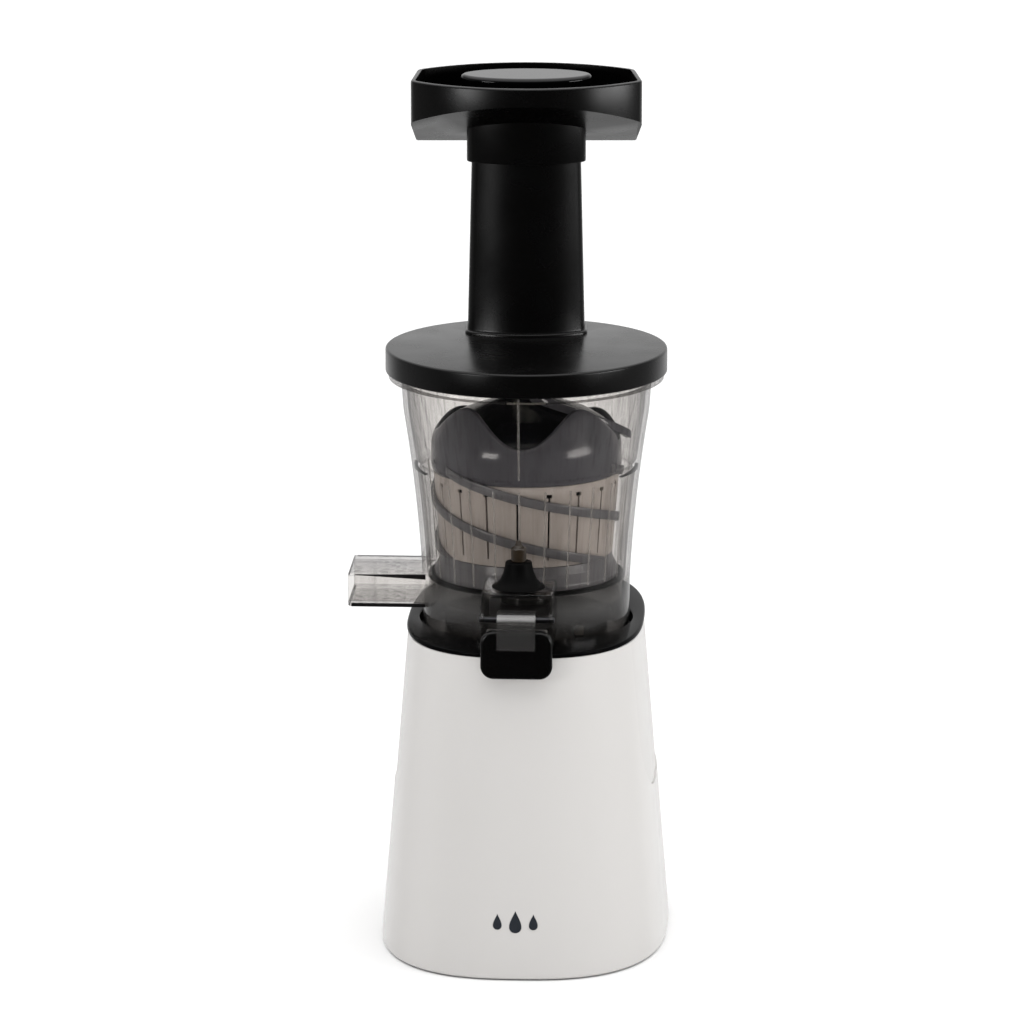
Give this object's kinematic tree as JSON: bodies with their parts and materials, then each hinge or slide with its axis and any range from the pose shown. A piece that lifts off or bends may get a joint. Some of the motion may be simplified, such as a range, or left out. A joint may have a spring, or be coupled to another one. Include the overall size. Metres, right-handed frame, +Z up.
{
  "type": "upright slow juicer",
  "caption": "Upright slow juicer: white tapered motor base, smoky clear drum with a screw auger, side pulp spout, capped front juice duct, black lid with feed chute, hopper tray and pusher.",
  "frame": {"origin": "middle of the footprint, on the surface that the feet stand on", "axes": "+Z up, -Y towards the front, where the juice duct and its cap are; the pulp spout points to -X"},
  "size_m": [0.1526, 0.1996, 0.41],
  "materials": {
    "white_plastic": "gloss",
    "panel_plastic": "gloss",
    "black_plastic": "satin",
    "gloss_black": "gloss",
    "smoky_clear": "smoky clear, polished",
    "black_rubber": "matte",
    "grey_silicone": "matte",
    "steel": "brushed",
    "aluminium": "cast",
    "iron": "laminated",
    "copper": "enamelled winding wire",
    "nylon": "matte",
    "circuit_board": "solder mask",
    "auger_grey": "satin",
    "auger_dark": "satin",
    "strainer_beige": "satin",
    "amber_plastic": "satin"
  },
  "bodies": {
    "root": {"housing_front": "white_plastic", "housing_rear": "white_plastic", "side_panel_left": "panel_plastic", "side_panel_right": "panel_plastic", "top_plate": "gloss_black", "bottom_cover": "black_plastic", "foot_front_left": "black_rubber", "foot_front_right": "black_rubber", "foot_rear_left": "black_rubber", "foot_rear_right": "black_rubber", "cover_screw_1": "steel", "cover_screw_2": "steel", "cover_screw_3": "steel", "cover_screw_4": "steel", "motor_lower_bell": "aluminium", "motor_stator": "iron", "motor_upper_bell": "aluminium", "winding_lower": "copper", "winding_upper": "copper", "gearbox_case": "black_plastic", "gearbox_cover": "black_plastic", "output_bearing": "steel", "shaft_lip_seal": "black_rubber", "control_board": "circuit_board", "switch_body": "black_plastic", "cord_gland": "black_rubber", "interlock_switch": "nylon", "interlock_spring": "steel"},
    "rotor": {"motor_rotor": "iron", "motor_fan": "nylon", "motor_pinion": "steel"},
    "idler": {"idler_gear": "nylon", "idler_pinion_shaft": "steel"},
    "output": {"output_gear": "nylon", "drive_shaft": "steel"},
    "rocker": {"switch_rocker": "gloss_black"},
    "plunger": {"interlock_plunger": "nylon"},
    "drum_carrier": {"drum_shaft_seal": "grey_silicone"},
    "drum_group": {"drum": "smoky_clear", "outlet_boot": "black_rubber", "outlet_stem": "amber_plastic", "cap_pin": "steel"},
    "cap_group": {"juice_cap": "black_plastic", "cap_lever": "smoky_clear", "cap_seal": "grey_silicone"},
    "auger_group": {"auger_hub": "auger_dark", "auger_base_ring": "auger_dark", "auger_strainer": "strainer_beige", "auger_screw": "auger_grey", "auger_pivot_pin": "steel", "auger_flight_1": "auger_dark", "auger_flight_2": "auger_dark", "auger_flight_3": "auger_dark", "auger_wing": "auger_dark"},
    "lid_carrier": {"lid_gasket": "grey_silicone"},
    "lid_group": {"lid": "black_plastic", "lid_bush": "nylon"},
    "tray": {"hopper_tray": "black_plastic"},
    "pusher": {"pusher_body": "black_plastic", "pusher_cap": "gloss_black"}
  },
  "joints": [
    {"name": "rotor_spin", "type": "hinge", "parent": "root", "child": "rotor", "pos_m": [0.0087, -0.0055, 0.042], "axis": [0, 0, 1], "continuous": true},
    {"name": "idler_spin", "type": "hinge", "parent": "root", "child": "idler", "pos_m": [0.0087, 0.0305, 0.098], "axis": [0, 0, 1], "continuous": true},
    {"name": "output_spin", "type": "hinge", "parent": "root", "child": "output", "pos_m": [0.0087, -0.0055, 0.13], "axis": [0, 0, 1], "continuous": true},
    {"name": "rocker_tilt", "type": "hinge", "parent": "root", "child": "rocker", "pos_m": [0.0087, 0.0947, 0.061], "axis": [-1, 0, 0], "range_deg": [0, 16]},
    {"name": "plunger_press", "type": "slide", "parent": "root", "child": "plunger", "axis": [0, 0, -1], "range_m": [0, 0.0025], "stiffness_N_per_m": 300, "springref_m": -0.001, "deforming": ["interlock_spring"]},
    {"name": "drum_lift", "type": "slide", "parent": "root", "child": "drum_carrier", "axis": [0, 0, 1], "range_m": [0, 0.08]},
    {"name": "drum_turn", "type": "hinge", "parent": "drum_carrier", "child": "drum_group", "pos_m": [0.0087, -0.0055, 0.16], "axis": [0, 0, 1], "range_deg": [0, 25]},
    {"name": "auger_spin", "type": "hinge", "parent": "drum_carrier", "child": "auger_group", "pos_m": [0.0087, -0.0055, 0.22], "axis": [0, 0, 1], "continuous": true},
    {"name": "cap_swing", "type": "hinge", "parent": "drum_group", "child": "cap_group", "pos_m": [0.0087, -0.0855, 0.1715], "axis": [-1, 0, 0], "range_deg": [0, 75]},
    {"name": "lid_lift", "type": "slide", "parent": "drum_group", "child": "lid_carrier", "axis": [0, 0, 1], "range_m": [0, 0.06]},
    {"name": "lid_turn", "type": "hinge", "parent": "lid_carrier", "child": "lid_group", "pos_m": [0.0087, -0.0055, 0.28], "axis": [0, 0, -1], "range_deg": [0, 25]},
    {"name": "tray_lift", "type": "slide", "parent": "lid_group", "child": "tray", "axis": [0, 0, 1], "range_m": [0, 0.03]},
    {"name": "pusher_slide", "type": "slide", "parent": "tray", "child": "pusher", "axis": [0, 0, 1], "range_m": [0, 0.1]}
  ],
  "couplings": [
    {"joint": "idler_spin", "follows": "rotor_spin", "ratio": -0.25},
    {"joint": "output_spin", "follows": "rotor_spin", "ratio": 0.0625},
    {"joint": "auger_spin", "follows": "rotor_spin", "ratio": 0.0625}
  ]
}
